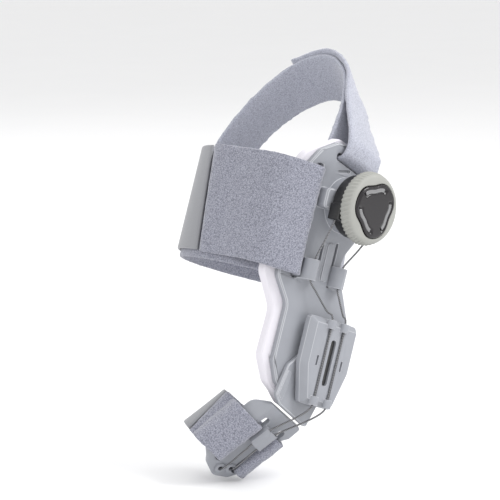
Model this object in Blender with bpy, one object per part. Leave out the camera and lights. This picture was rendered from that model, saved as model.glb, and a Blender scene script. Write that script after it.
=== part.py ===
# Bunion corrector: a hinged side splint for the big toe, tightened by a dial and
# two steel cables, and held to the foot by three hook-and-loop straps.
#
# Every table is in millimetres. In the splint's own frame x runs from the back of
# the foot to its sole, y from the outer side of the splint into the foot, and z
# from the toes up the foot. The toe plate has a frame of the same kind of its own.

import math

import bmesh
import bpy
import numpy as np
from mathutils import Matrix, Vector
from mathutils.geometry import tessellate_polygon

MM = 0.001

# Clearances
GAP = 0.3
CABLE_CLEARANCE = 0.55
STRAP_CLEARANCE = 0.9
SLOT_END = 1.6

# Posture as worn, in degrees
LEAN = 19.3
ARM_TURN = 19.4
TOE_FOLD = 36.0

# Wall and part thicknesses
PAD_THICK = 4.7
PLATE_THICK = 3.0
ARM_THICK = 2.2
ARM_RIB = 0.5
COVER_THICK = 5.5
COVER_BEVEL = 2.6
BOSS_HEIGHT = 6.0
TOE_THICK = 2.6
FABRIC = 2.0
TAB_THICK = 1.5
CABLE_D = 1.1

# Levels along y, from the skin outwards
PAD_OUT = -PAD_THICK
PLATE_IN = PAD_OUT - GAP
PLATE_OUT = PLATE_IN - PLATE_THICK
ARM_IN = PLATE_OUT - GAP
ARM_OUT = ARM_IN - ARM_THICK
COVER_IN = ARM_OUT - ARM_RIB - GAP
COVER_OUT = COVER_IN - COVER_THICK
BOSS_OUT = PLATE_OUT - BOSS_HEIGHT

# Flange on the back-of-foot side of the splint and its pad
FLANGE_X = -19.0
FLANGE_SLOPE = 0.35

# Pivot hub under the cover
HUB_R = 4.6
ARM_HOLE_R = HUB_R + GAP
ARM_REACH = 25.8

# Strap widths and lengths along the slots
INSTEP_W = 50.5
INSTEP_Z = 38.0
HEEL_W = 24.0
TOE_W = 24.8
TOE_T = 12.5
TOE_STRAP_SLANT = 0.23

# Slots: centre, length and width follow the strap that runs through them
SLOT_WIDTH = FABRIC + 2.0 * STRAP_CLEARANCE
INSTEP_SLOT_X = -24.7
HEEL_SLOT = (-4.3, 92.9)
HEEL_SLOT_TILT = -12.0
TOE_SLOT_DORSAL = 3.1
TOE_SLOT_PLANTAR = 15.2

# Dial
DIAL_X = -5.7
DIAL_Z = 75.0
BOSS_R = 12.8
BASE_R = 14.5
BASE_HEIGHT = 6.7
RING_R = 17.0
RING_HEIGHT = 6.0
RING_TAPER = 1.3
RING_WALL = 1.8
HEART_HEIGHT = 4.4
CAP_HEIGHT = 2.2
SHAFT_R = 4.0
SHAFT_DEPTH = 5.0
SNOUT_X = 13.3
SNOUT_Z = -9.0
SNOUT_W = 4.4
CAP_TURN = 80.0

# Cable run across the splint, the cover and the toe plate
GUIDE_X = (-19.1, 0.0)
GUIDE_Z = (37.2, 46.8)
GUIDE_W = 8.0
GUIDE_HEIGHT = 5.4
GUIDE_BORE = 3.0
BORE_R = CABLE_D / 2 + CABLE_CLEARANCE
TRACK_X = 4.5
TUBE_R = 2.5
TUBE_LENGTH = 4.0
TOE_GUIDE_T = (11.0, 21.0)
TOE_GUIDE_W = (5.3, 13.3)
TOE_GUIDE_HEIGHT = 4.4
TOE_BORE = 2.6
TOE_TRACK_W = (6.9, 11.1)
TOE_ANCHOR = ((8.2, 40.3), (12.4, 37.2))
ANCHOR_BOSS_R = 2.6
ANCHOR_BOSS_HEIGHT = 1.0

# Foot and toe hollows inside the straps: centre x, centre y, half width, half depth
FOOT = (-4.7, 36.0, 36.7, 34.7)
TOE = (9.0, 16.5, 12.0, 12.5)

# Outlines: x, z, corner radius
PLATE_OUTLINE = [
    (-18.5, 101.5, 4.0), (-11.5, 101.5, 3.0), (9.5, 97.0, 3.0), (11.5, 88.0, 5.0),
    (10.5, 64.0, 7.0), (2.5, 52.0, 12.0), (2.5, 45.0, 10.0), (9.5, 34.0, 8.0),
    (15.5, 24.0, 5.0), (16.0, 4.0, 8.0), (12.5, -10.0, 8.0), (4.0, -21.0, 8.0),
    (-11.0, -20.0, 8.0), (-20.8, -11.0, 6.0), (-24.6, -2.0, 5.0), (-24.5, 24.5, 9.0),
    (-32.0, 36.0, 5.0), (-32.0, 85.0, 9.0), (-25.5, 96.5, 6.0),
]
PAD_OUTLINE = [
    (-15.5, 104.0, 6.0), (-7.0, 102.5, 4.0), (7.5, 97.5, 4.0), (9.5, 86.0, 5.0),
    (8.5, 66.0, 7.0), (0.5, 53.0, 12.0), (0.5, 45.0, 10.0), (7.5, 34.0, 8.0),
    (13.5, 24.0, 5.0), (14.0, 4.0, 8.0), (10.5, -9.0, 8.0), (2.5, -19.5, 8.0),
    (-12.0, -20.5, 8.0), (-23.0, -12.0, 6.0), (-28.6, -1.0, 7.0), (-28.0, 21.0, 12.0),
    (-36.7, 36.0, 7.0), (-36.7, 80.0, 12.0), (-30.0, 94.0, 9.0),
]
COVER_OUTLINE = [
    (-16.0, 22.5, 2.5), (16.0, 22.5, 2.5), (16.0, 0.0, 10.0), (10.5, -17.3, 2.0),
    (-10.5, -17.3, 2.0), (-16.0, 0.0, 10.0),
]
ARM_OUTLINE = [
    (-10.0, 6.5, 4.0), (-2.5, 9.0, 4.0), (6.5, 7.0, 5.0), (9.0, -4.0, 5.0),
    (5.5, -17.6, 3.0), (1.6, -27.6, 1.4), (-18.5, -20.5, 1.4), (-22.3, -16.4, 1.5),
    (-19.0, -2.0, 2.0),
]
TOE_OUTLINE = [
    (-1.5, -1.9, 1.4), (21.0, -1.9, 1.5), (21.4, -9.0, 2.0), (19.4, -12.0, 1.5),
    (19.4, -37.0, 3.0), (16.5, -42.0, 4.0), (9.5, -45.5, 5.0), (1.5, -43.0, 6.0),
    (-6.2, -36.0, 4.0), (-6.2, -8.0, 7.0),
]
TOE_LIP_X = -1.0
TOE_LIP_SLOPE = 0.9

# Open slits and raised ribs of the splint: x, z from, z to, width
PLATE_SLITS = [(-12.7, 43.0, 55.5, 1.6), (-3.5, 36.6, 57.5, 1.6)]
PLATE_RIBS = [(-8.1, 38.5, 56.5, 4.0)]
PLATE_NOTCH = (-10.5, 89.7, 8.0, 1.4, 12.0)

# Materials: base colour, roughness, metallic
MATERIALS = {
    "grey_plastic": ((0.40, 0.42, 0.46), 0.42, 0.0),
    "dark_plastic": ((0.05, 0.05, 0.055), 0.35, 0.0),
    "black_gloss": ((0.03, 0.027, 0.03), 0.12, 0.0),
    "grey_gloss": ((0.32, 0.32, 0.33), 0.2, 0.0),
    "ring_rubber": ((0.50, 0.51, 0.46), 0.6, 0.0),
    "pad_foam": ((0.82, 0.80, 0.84), 0.75, 0.0),
    "loop_fabric": ((0.38, 0.39, 0.46), 0.9, 0.0),
    "hook_tab": ((0.42, 0.43, 0.43), 0.6, 0.0),
    "steel": ((0.62, 0.62, 0.63), 0.28, 1.0),
}


def clear_scene():
    for obj in list(bpy.data.objects):
        bpy.data.objects.remove(obj, do_unlink=True)


def material(name):
    """The Principled material of one entry of MATERIALS."""
    found = bpy.data.materials.get(name)
    if found:
        return found
    colour, roughness, metallic = MATERIALS[name]
    mat = bpy.data.materials.new(name)
    mat.use_nodes = True
    shader = mat.node_tree.nodes["Principled BSDF"]
    shader.inputs["Base Color"].default_value = (*colour, 1.0)
    shader.inputs["Roughness"].default_value = roughness
    shader.inputs["Metallic"].default_value = metallic
    mat.diffuse_color = (*colour, 1.0)
    return mat


def rounded(corners, steps=4):
    """Polygon through a table of corners, each rounded by its own radius."""
    points = []
    count = len(corners)
    for i, (x, z, radius) in enumerate(corners):
        here = Vector((x, z))
        before = Vector(corners[i - 1][:2]) - here
        after = Vector(corners[(i + 1) % count][:2]) - here
        half = before.angle(after) / 2
        reach = radius / math.tan(half)
        reach = min(reach, 0.48 * before.length, 0.48 * after.length)
        start = here + before.normalized() * reach
        end = here + after.normalized() * reach
        for k in range(steps + 1):
            t = k / steps
            points.append((1 - t) ** 2 * start + 2 * t * (1 - t) * here + t ** 2 * end)
    return [(p.x, p.y) for p in points]


def shrunk(corners, distance):
    """Table of corners moved inward, with their radii reduced to match."""
    places = inset([(x, z) for x, z, radius in corners], distance)
    return [(x, z, max(0.4, radius - distance)) for (x, z), (_, _, radius) in zip(places, corners)]


def circle(radius, count, x=0.0, z=0.0):
    """Regular polygon of one radius about a centre."""
    turn = 2 * math.pi / count
    return [(x + radius * math.cos(i * turn), z + radius * math.sin(i * turn))
            for i in range(count)]


def box_outline(x, z, width, height, tilt=0.0):
    """Rectangle about a centre, turned by a tilt in degrees."""
    c, s = math.cos(math.radians(tilt)), math.sin(math.radians(tilt))
    half = [(-1, -1), (1, -1), (1, 1), (-1, 1)]
    corners = [(i * width / 2, j * height / 2) for i, j in half]
    return [(x + c * u - s * v, z + s * u + c * v) for u, v in corners]


def slot_outline(x, z, width, height, tilt=0.0):
    """Rectangle with small round corners, for slots and slits."""
    radius = 0.42 * min(width, height)
    return rounded([(u, v, radius) for u, v in box_outline(x, z, width, height, tilt)], 2)


def inset(outline, distance):
    """Outline moved inward along the bisector at each corner."""
    area = sum(a[0] * b[1] - b[0] * a[1] for a, b in zip(outline, outline[1:] + outline[:1]))
    side = 1.0 if area > 0 else -1.0
    moved = []
    count = len(outline)
    for i in range(count):
        here = Vector(outline[i])
        back = (here - Vector(outline[i - 1])).normalized()
        ahead = (Vector(outline[(i + 1) % count]) - here).normalized()
        normal = Vector((-(back.y + ahead.y), back.x + ahead.x)) * side
        if normal.length < 1e-9:
            normal = Vector((-back.y, back.x)) * side
        normal.normalize()
        lean = max(0.35, abs(normal.dot(Vector((-back.y, back.x)))))
        moved.append(tuple(here + normal * distance / lean))
    return moved


def make_object(name, verts, faces, mat, smooth=35.0):
    """Mesh object from points in millimetres, with its faces turned outwards."""
    mesh = bpy.data.meshes.new(name)
    bm = bmesh.new()
    points = [bm.verts.new(Vector(v) * MM) for v in verts]
    for face in faces:
        bm.faces.new([points[i] for i in face])
    bmesh.ops.recalc_face_normals(bm, faces=bm.faces)
    bm.to_mesh(mesh)
    bm.free()
    obj = bpy.data.objects.new(name, mesh)
    bpy.context.scene.collection.objects.link(obj)
    mesh.materials.append(material(mat))
    finish(obj, smooth)
    return obj


def finish(obj, smooth=35.0):
    """Smooth shading, with edges sharper than an angle kept hard."""
    for poly in obj.data.polygons:
        poly.use_smooth = True
    obj.data.set_sharp_from_angle(angle=math.radians(smooth))


def stack(name, levels, mat, holes=()):
    """Solid through outlines at rising y; holes run straight through its ends."""
    verts = []
    faces = []
    count = len(levels[0][1])
    for y, outline in levels:
        verts += [(x, y, z) for x, z in outline]
    for k in range(len(levels) - 1):
        for i in range(count):
            j = (i + 1) % count
            low, high = k * count, (k + 1) * count
            faces.append((low + i, low + j, high + j, high + i))
    ends = {0: list(range(count)), 1: list(range(len(verts) - count, len(verts)))}
    rings = {0: [ends[0]], 1: [ends[1]]}
    for hole in holes:
        start = len(verts)
        size = len(hole)
        verts += [(x, levels[0][0], z) for x, z in hole]
        verts += [(x, levels[-1][0], z) for x, z in hole]
        for i in range(size):
            j = (i + 1) % size
            faces.append((start + i, start + size + i, start + size + j, start + j))
        rings[0].append(list(range(start, start + size)))
        rings[1].append(list(range(start + size, start + 2 * size)))
    for end in (0, 1):
        loops = rings[end]
        flat = [i for loop in loops for i in loop]
        shape = [[Vector((verts[i][0], verts[i][2], 0.0)) for i in loop] for loop in loops]
        for tri in tessellate_polygon(shape):
            faces.append(tuple(flat[i] for i in tri))
    return make_object(name, verts, faces, mat)


def prism(name, outline, y_out, y_in, mat, holes=(), chamfer=0.0):
    """Plate between two levels, with a chamfer round its outer face."""
    levels = [(y_out, outline), (y_in, outline)]
    if chamfer:
        levels = [(y_out, inset(outline, chamfer)), (y_out + chamfer, outline), (y_in, outline)]
    return stack(name, levels, mat, holes)


def along_z(name, profile, z_low, z_high, mat):
    """Solid of one x-y profile run along z."""
    count = len(profile)
    verts = [(x, y, z_low) for x, y in profile] + [(x, y, z_high) for x, y in profile]
    faces = [(i, (i + 1) % count, count + (i + 1) % count, count + i) for i in range(count)]
    faces += [tuple(range(count)), tuple(range(count, 2 * count))]
    return make_object(name, verts, faces, mat)


def combine(obj, tool, operation):
    """Boolean of a solid with a tool, which is used up."""
    mod = obj.modifiers.new("shape", "BOOLEAN")
    mod.operation = operation
    mod.solver = "EXACT"
    mod.object = tool
    bpy.context.view_layer.update()
    graph = bpy.context.evaluated_depsgraph_get()
    mesh = bpy.data.meshes.new_from_object(obj.evaluated_get(graph))
    obj.modifiers.clear()
    obj.data = mesh
    mesh.name = obj.name
    bpy.data.objects.remove(tool, do_unlink=True)
    finish(obj)


def join(obj, *tools):
    for tool in tools:
        combine(obj, tool, "UNION")


def cut(obj, *tools):
    for tool in tools:
        combine(obj, tool, "DIFFERENCE")


def slope(obj, x_line, rate):
    """Bend everything beyond a line parallel to z inwards by a rate."""
    bm = bmesh.new()
    bm.from_mesh(obj.data)
    geom = bm.verts[:] + bm.edges[:] + bm.faces[:]
    bmesh.ops.bisect_plane(bm, geom=geom, dist=1e-7, plane_co=(x_line * MM, 0, 0),
                           plane_no=(1, 0, 0))
    for vert in bm.verts:
        if vert.co.x < x_line * MM:
            vert.co.y += (x_line * MM - vert.co.x) * rate
    bm.to_mesh(obj.data)
    bm.free()
    finish(obj)


def smooth_path(points, step):
    """Curve through a table of points, at even steps along its length."""
    table = np.array(points, dtype=float)
    padded = np.vstack([2 * table[0] - table[1], table, 2 * table[-1] - table[-2]])
    t = np.linspace(0, 1, 12, endpoint=False)[:, None]
    rows = []
    for a, b, c, d in zip(padded, padded[1:], padded[2:], padded[3:]):
        rows.append(0.5 * (2 * b + (c - a) * t + (2 * a - 5 * b + 4 * c - d) * t ** 2
                           + (3 * b - a - 3 * c + d) * t ** 3))
    dense = np.vstack(rows + [table[-1:]])
    run = np.concatenate([[0], np.cumsum(np.linalg.norm(np.diff(dense[:, :3], axis=0), axis=1))])
    count = max(2, int(round(run[-1] / step)) + 1)
    even = np.linspace(0, run[-1], count)
    return np.column_stack([np.interp(even, run, dense[:, k]) for k in range(dense.shape[1])])


def oval(hollow, grow, start, end, step=10.0):
    """Arc about a hollow (centre and half sizes), grown outwards, by angle in degrees."""
    cx, cy, a, b = hollow
    count = max(2, int(abs(end - start) / step) + 1)
    turns = np.radians(np.linspace(start, end, count))
    return [(cx + (a + grow) * math.cos(q), cy + (b + grow) * math.sin(q)) for q in turns]


def ribbon(name, rows, width, thick, mat):
    """Flat strap along rows of x, y, z and the direction of its width."""
    table = np.array(rows, dtype=float)
    centre, across = table[:, :3], table[:, 3:6]
    tangent = np.gradient(centre, axis=0)
    tangent /= np.linalg.norm(tangent, axis=1)[:, None]
    normal = np.cross(tangent, across)
    normal /= np.linalg.norm(normal, axis=1)[:, None]
    half_w, half_t = across * width / 2, normal * thick / 2
    ring = [centre - half_w - half_t, centre + half_w - half_t,
            centre + half_w + half_t, centre - half_w + half_t]
    verts = np.stack(ring, axis=1).reshape(-1, 3)
    faces = []
    for i in range(len(centre) - 1):
        for k in range(4):
            m = (k + 1) % 4
            faces.append((4 * i + k, 4 * i + m, 4 * i + 4 + m, 4 * i + 4 + k))
    last = 4 * (len(centre) - 1)
    faces += [(0, 1, 2, 3), (last, last + 1, last + 2, last + 3)]
    return make_object(name, verts.tolist(), faces, mat)


def flat_strap(name, path, z_mid, width, thick, mat, slant=0.0):
    """Strap whose path lies across z, slanting towards the toes with depth."""
    rows = [(x, y, z_mid - slant * max(0.0, y), 0, 0, 1) for x, y in path]
    return ribbon(name, rows, width, thick, mat)


def cable(name, points, mat="steel", step=2.7):
    """Round cable through points in millimetres, as a capped tube."""
    path = smooth_path(points, step) * MM
    curve = bpy.data.curves.new(name, "CURVE")
    curve.dimensions = "3D"
    curve.bevel_depth = CABLE_D / 2 * MM
    curve.bevel_resolution = 2
    curve.use_fill_caps = True
    spline = curve.splines.new("POLY")
    spline.points.add(len(path) - 1)
    for point, place in zip(spline.points, path):
        point.co = (*place, 1.0)
    obj = bpy.data.objects.new(name, curve)
    bpy.context.scene.collection.objects.link(obj)
    curve.materials.append(material(mat))
    return obj


def hermite(p0, d0, p1, d1, count=6):
    """Curve between two points with a given leaving and arriving direction."""
    t = np.linspace(0, 1, count)[:, None]
    p0, d0, p1, d1 = (np.array(v, dtype=float) for v in (p0, d0, p1, d1))
    return ((2 * t ** 3 - 3 * t ** 2 + 1) * p0 + (t ** 3 - 2 * t ** 2 + t) * d0
            + (3 * t ** 2 - 2 * t ** 3) * p1 + (t ** 3 - t ** 2) * d1)


def half_round(x, base_y, radius, height):
    """Arch profile standing outwards from a level."""
    turns = [math.pi * k / 8 for k in range(9)]
    arch = [(x + radius * math.cos(q), base_y - height * math.sin(q)) for q in turns]
    return [(x - radius, base_y + 0.4), (x + radius, base_y + 0.4)] + arch


def toe_frame():
    """Turn and place of the toe plate's frame in the splint's frame."""
    down = math.radians(ARM_TURN)
    fold = math.radians(TOE_FOLD)
    arm = Vector((-math.sin(down), 0.0, -math.cos(down)))
    across = Vector((math.cos(down), 0.0, -math.sin(down)))
    inward = Vector((0.0, 1.0, 0.0))
    along = arm * math.cos(fold) + inward * math.sin(fold)
    depth = inward * math.cos(fold) - arm * math.sin(fold)
    place = arm * ARM_REACH - across * 10.8 + Vector((0.0, ARM_OUT + 0.6, 0.0))
    turn = Matrix((across, depth, -along)).transposed()
    return turn, place, along


# Splint

def main_plate():
    slots = [slot_outline(INSTEP_SLOT_X, INSTEP_Z + INSTEP_W / 2, SLOT_WIDTH,
                          INSTEP_W + 2 * SLOT_END),
             slot_outline(*HEEL_SLOT, HEEL_W + 2 * SLOT_END, SLOT_WIDTH, HEEL_SLOT_TILT)]
    slits = [slot_outline(x, (low + high) / 2, width, high - low)
             for x, low, high, width in PLATE_SLITS]
    plate = prism("main_plate", rounded(PLATE_OUTLINE), PLATE_OUT, PLATE_IN, "grey_plastic",
                  slots[1:] + slits, 0.5)
    boss = prism("boss", circle(BOSS_R, 40, DIAL_X, DIAL_Z), BOSS_OUT, PLATE_OUT + 0.5,
                 "grey_plastic", (), 0.6)
    lug = prism("lug", rounded([(-22.6, 80.0, 2.2), (-9.0, 80.0, 2.0), (-9.0, 70.5, 2.0),
                                (-22.6, 70.5, 2.2)]), BOSS_OUT + 0.5, PLATE_OUT + 0.5,
                "grey_plastic", (), 0.6)
    join(plate, boss, lug)
    for x, low, high, width in PLATE_RIBS:
        outline = slot_outline(x, (low + high) / 2, width, high - low)
        join(plate, prism("rib", outline, PLATE_OUT - 1.0, PLATE_OUT + 0.5, "grey_plastic"))
    for x in GUIDE_X:
        arch = half_round(x, PLATE_OUT, GUIDE_W / 2, GUIDE_HEIGHT)
        join(plate, along_z("guide", arch, GUIDE_Z[0], GUIDE_Z[1], "grey_plastic"))
        bore = [(x + BORE_R * u, PLATE_OUT - GUIDE_BORE + BORE_R * v) for u, v in circle(1, 10)]
        cut(plate, along_z("bore", bore, GUIDE_Z[0] - 1, GUIDE_Z[1] + 1, "grey_plastic"))
    well = circle(SHAFT_R + GAP, 24, DIAL_X, DIAL_Z)
    cut(plate, prism("well", well, BOSS_OUT - 1, BOSS_OUT + 1.0, "grey_plastic"))
    cut(plate, prism("notch", slot_outline(*PLATE_NOTCH), PLATE_OUT - 1, PLATE_OUT + 1.0,
                     "grey_plastic"))
    cut(plate, prism("strap_slot", slots[0], PLATE_OUT - 1, PLATE_IN + 1, "grey_plastic"))
    slope(plate, FLANGE_X, FLANGE_SLOPE)
    return plate


def foam_pad():
    slots = [slot_outline(INSTEP_SLOT_X, INSTEP_Z + INSTEP_W / 2, SLOT_WIDTH,
                          INSTEP_W + 2 * SLOT_END),
             slot_outline(*HEEL_SLOT, HEEL_W + 2 * SLOT_END, SLOT_WIDTH, HEEL_SLOT_TILT)]
    outline = rounded(PAD_OUTLINE)
    levels = [(PAD_OUT, inset(outline, 0.5)), (PAD_OUT + 0.7, outline), (-0.9, outline),
              (0.0, inset(outline, 0.9))]
    pad = stack("foam_pad", levels, "pad_foam", slots)
    slope(pad, FLANGE_X, FLANGE_SLOPE)
    return pad


def cover_plate():
    outline = rounded(COVER_OUTLINE, 3)
    face = rounded(shrunk(COVER_OUTLINE, COVER_BEVEL), 3)
    levels = [(COVER_OUT, face), (COVER_OUT + COVER_BEVEL + 0.4, outline), (COVER_IN, outline)]
    cover = stack("cover_plate", levels, "grey_plastic")
    foot = PLATE_OUT - GAP
    stand = rounded([(-12.0, 19.5, 1.5), (12.0, 19.5, 1.5), (12.0, 11.0, 1.5), (-12.0, 11.0, 1.5)], 2)
    join(cover, prism("stand", stand, COVER_IN - 0.5, foot, "grey_plastic"),
         prism("hub", circle(HUB_R, 32), COVER_IN - 0.5, foot, "grey_plastic"))
    for x in (-TRACK_X, TRACK_X):
        arch = half_round(x, COVER_OUT, TUBE_R, 2.0)
        join(cover, along_z("tube", arch, 22.3 - TUBE_LENGTH, 22.3, "grey_plastic"),
             along_z("tube", arch, -17.1, -17.1 + TUBE_LENGTH, "grey_plastic"))
        track = [(x - BORE_R, COVER_OUT - BORE_R), (x + BORE_R, COVER_OUT - BORE_R),
                 (x + BORE_R, COVER_OUT + BORE_R), (x - BORE_R, COVER_OUT + BORE_R)]
        cut(cover, along_z("track", track, -19.0, 24.0, "grey_plastic"))
    window = slot_outline(0.0, INSERT_Z, INSERT_W + 2 * GAP, INSERT_L + 2 * GAP)
    cut(cover, prism("window", window, COVER_OUT - 1, COVER_OUT + 3.2, "grey_plastic"))
    for x in (-8.2, 8.2):
        cut(cover, prism("mark", slot_outline(x, 3.0, 1.2, 5.0), COVER_OUT - 1,
                         COVER_OUT + 1.6, "grey_plastic"))
    return cover


INSERT_Z = 3.1
INSERT_W = 2.8
INSERT_L = 20.8


def slot_insert():
    outline = slot_outline(0.0, INSERT_Z, INSERT_W, INSERT_L)
    return prism("slot_insert", outline, COVER_OUT + 0.9, COVER_OUT + 3.2 - GAP, "dark_plastic")


# Dial, built about its own axis

def dial_base():
    turns = [math.radians(q) for q in np.linspace(218.4, 321.6, 13)]
    arc_low = [(BASE_R * math.cos(q), BASE_R * math.sin(q)) for q in turns]
    turns = [math.radians(q) for q in np.linspace(-4.0, 184.0, 25)]
    arc_high = [(BASE_R * math.cos(q), BASE_R * math.sin(q)) for q in turns]
    edge = SNOUT_X + SNOUT_W / 2
    outline = arc_low + [(edge, SNOUT_Z), (edge, -2.0)] + arc_high + [(-edge, -2.0), (-edge, SNOUT_Z)]
    back = BOSS_OUT - GAP
    levels = [(back - BASE_HEIGHT, inset(outline, 0.5)), (back - BASE_HEIGHT + 0.5, outline),
              (back, outline)]
    base = stack("dial_base", levels, "dark_plastic")
    well = prism("well", circle(SHAFT_R + GAP, 24), back - BASE_HEIGHT - 1,
                 back - BASE_HEIGHT + SHAFT_DEPTH, "dark_plastic")
    cut(base, well)
    return base


def dial_shaft():
    deep = BOSS_OUT - GAP - BASE_HEIGHT + SHAFT_DEPTH - GAP
    tip = BOSS_OUT - GAP - BASE_HEIGHT - GAP - HEART_HEIGHT / 2
    return prism("dial_shaft", circle(SHAFT_R, 24), tip, deep, "steel")


def dial_turning():
    back = BOSS_OUT - GAP - BASE_HEIGHT - GAP
    hollow_r = RING_R - RING_TAPER - RING_WALL
    ring_out = back - RING_HEIGHT
    hole = circle(hollow_r, 48)
    full = circle(RING_R, 48)
    levels = [(ring_out, circle(RING_R - RING_TAPER - 0.8, 48)),
              (ring_out + 1.0, circle(RING_R - RING_TAPER, 48)), (back - 0.8, full),
              (back, circle(RING_R - 0.6, 48))]
    ring = stack("dial_ring", levels, "ring_rubber", [hole])
    heart = prism("dial_heart", circle(hollow_r - GAP, 40), back - HEART_HEIGHT, back,
                  "grey_gloss")
    cut(heart, prism("well", circle(SHAFT_R + GAP, 24), back - HEART_HEIGHT / 2 - GAP, back + 1,
                     "grey_gloss"))
    corner = 2 * (hollow_r - GAP - 0.1)
    shape = []
    for turn in (90.0, 210.0, 330.0):
        q = math.radians(turn + CAP_TURN)
        shape.append((corner * math.cos(q) * 0.86, corner * math.sin(q) * 0.86, 9.0))
    cap_back = back - HEART_HEIGHT - GAP
    tri = [tuple(Vector(p) * min(1.0, (hollow_r - GAP - 0.1) / max(Vector(p).length, 1e-6)))
           for p in rounded(shape, 12)]
    levels = [(cap_back - CAP_HEIGHT, inset(tri, 0.5)), (cap_back - CAP_HEIGHT + 0.5, tri),
              (cap_back, tri)]
    cap = stack("dial_cap", levels, "black_gloss")
    return [ring, heart, cap]


# Toe side

def toe_arm():
    outline = rounded(ARM_OUTLINE, 3)
    arm = prism("toe_arm", outline, ARM_OUT, ARM_IN, "grey_plastic", [circle(ARM_HOLE_R, 32)], 0.4)
    rib = rounded([(-18.6, -4.5, 0.6), (-16.4, -5.5, 0.6), (-17.0, -13.0, 2.0), (-18.6, -18.8, 0.6),
                   (-21.4, -16.2, 0.6)], 2)
    join(arm, prism("rib", rib, ARM_OUT - ARM_RIB, ARM_OUT + 0.4, "grey_plastic"))
    return arm


def toe_plate():
    strap_mid = -(TOE_T + TOE_W / 2)
    length = TOE_W + 2 * STRAP_CLEARANCE + 4.0
    slots = [slot_outline(TOE_SLOT_DORSAL, strap_mid + 1.6, SLOT_WIDTH, length),
             slot_outline(TOE_SLOT_PLANTAR, strap_mid + 1.6, SLOT_WIDTH, length)]
    plate = prism("toe_plate", rounded(TOE_OUTLINE), 0.0, TOE_THICK, "grey_plastic", (), 0.5)
    for w, t in TOE_ANCHOR:
        join(plate, prism("boss", circle(ANCHOR_BOSS_R, 20, w, -t), -ANCHOR_BOSS_HEIGHT, 0.6,
                          "grey_plastic"))
    low, high = TOE_GUIDE_W
    block = [(low, 0.6), (low, -2.6), (low + 1.8, -TOE_GUIDE_HEIGHT), (high - 1.8, -TOE_GUIDE_HEIGHT),
             (high, -2.6), (high, 0.6)]
    join(plate, along_z("block", block, -TOE_GUIDE_T[1], -TOE_GUIDE_T[0], "grey_plastic"))
    cut(plate, *[prism("slot", slot, -3.0, TOE_THICK + 1, "grey_plastic") for slot in slots])
    for w in TOE_TRACK_W:
        bore = [(w + BORE_R * u, -TOE_BORE + BORE_R * v) for u, v in circle(1, 10)]
        cut(plate, along_z("bore", bore, -TOE_GUIDE_T[1] - 1, -TOE_GUIDE_T[0] + 1, "grey_plastic"))
    for w, t in TOE_ANCHOR:
        cut(plate, prism("hole", circle(BORE_R + 0.1, 12, w, -t), -3, TOE_THICK + 1, "grey_plastic"))
    slope(plate, TOE_LIP_X, TOE_LIP_SLOPE)
    return plate


# Straps

def instep_parts():
    inner, outer = FABRIC / 2, 1.5 * FABRIC + GAP
    x0 = INSTEP_SLOT_X
    path = ([(-9.0, 1.5), (-1.0, 1.5), (7.0, 2.3)] + oval(FOOT, inner, -52, 203)
            + [(-34.5, 14.8), (-30.0, 8.6), (x0 - 1.6, 5.2), (x0, 1.6), (x0, -6.2)])
    strap_mid = INSTEP_Z + INSTEP_W / 2
    fold = [(x0 - 0.9, -8.6), (x0 - 3.4, -8.6), (-32.5, -5.6), (-36.6, -2.2), (-39.8, 2.2),
            (-41.9, 9.0), (-43.0, 17.0)]
    panel = oval(FOOT, outer, 193, 168)
    strap = flat_strap("instep_strap", smooth_path(path + fold + panel, 4.0), strap_mid,
                       INSTEP_W, FABRIC, "loop_fabric")
    tab_path = oval(FOOT, FABRIC + GAP + TAB_THICK / 2 + 0.1, 165, 58)
    tab = flat_strap("instep_hook_tab", smooth_path(tab_path, 4.0), strap_mid, INSTEP_W - 2.0,
                     TAB_THICK, "hook_tab")
    return [strap, tab]


HEEL_ROWS = [
    # x, y, z, turn of the width vector towards the toes in degrees
    (-5.5, 78.4, 62.0, 0.0),
    (-4.0, 77.5, 80.0, 4.0),
    (-1.0, 73.5, 98.0, 10.0),
    (4.0, 64.0, 117.0, 24.0),
    (9.0, 50.0, 132.0, 42.0),
    (10.5, 34.0, 137.5, 50.0),
    (8.0, 18.0, 131.0, 44.0),
    (3.5, 7.5, 118.0, 30.0),
    (-1.5, 2.9, 106.0, 17.0),
    (-4.0, 2.1, 98.0, 12.0),
]


def heel_strap():
    """Strap from the instep strap round the heel, through the slot, and back over itself."""
    x0, z0 = HEEL_SLOT
    tilt = -HEEL_SLOT_TILT
    inner = [list(row) for row in HEEL_ROWS]
    drop = math.tan(math.radians(tilt))
    through = [(x0, 2.2, z0 + 1.5, tilt), (x0, 0.2, z0 - 0.6, tilt), (x0, PLATE_OUT + 1.0, z0, tilt)]
    over = [(x0 + 0.3, PLATE_OUT - 1.9, z0 + 1.6, tilt), (x0 + 1.2, PLATE_OUT - 2.2, z0 + 5.5, tilt),
            (x0 + 2.4, PLATE_OUT - 0.6, z0 + 11.0, tilt + 3)]
    back = []
    for x, y, z, turn in reversed(HEEL_ROWS[4:8]):
        centre = Vector((x - 7.0, y - 34.0, z - 96.0)).normalized() * (FABRIC + 1.0)
        back.append((x + centre.x, y + centre.y, z + centre.z, turn))
    rows = smooth_path(inner + through + over + back, 3.0)
    turns = np.radians(rows[:, 3])
    tangent = np.gradient(rows[:, :3], axis=0)
    tangent /= np.linalg.norm(tangent, axis=1)[:, None]
    across = np.column_stack([np.cos(turns), 0 * turns, -np.sin(turns)])
    across -= tangent * np.sum(across * tangent, axis=1)[:, None]
    across /= np.linalg.norm(across, axis=1)[:, None]
    return ribbon("heel_strap", np.column_stack([rows[:, :3], across]), HEEL_W, FABRIC, "loop_fabric")


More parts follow.
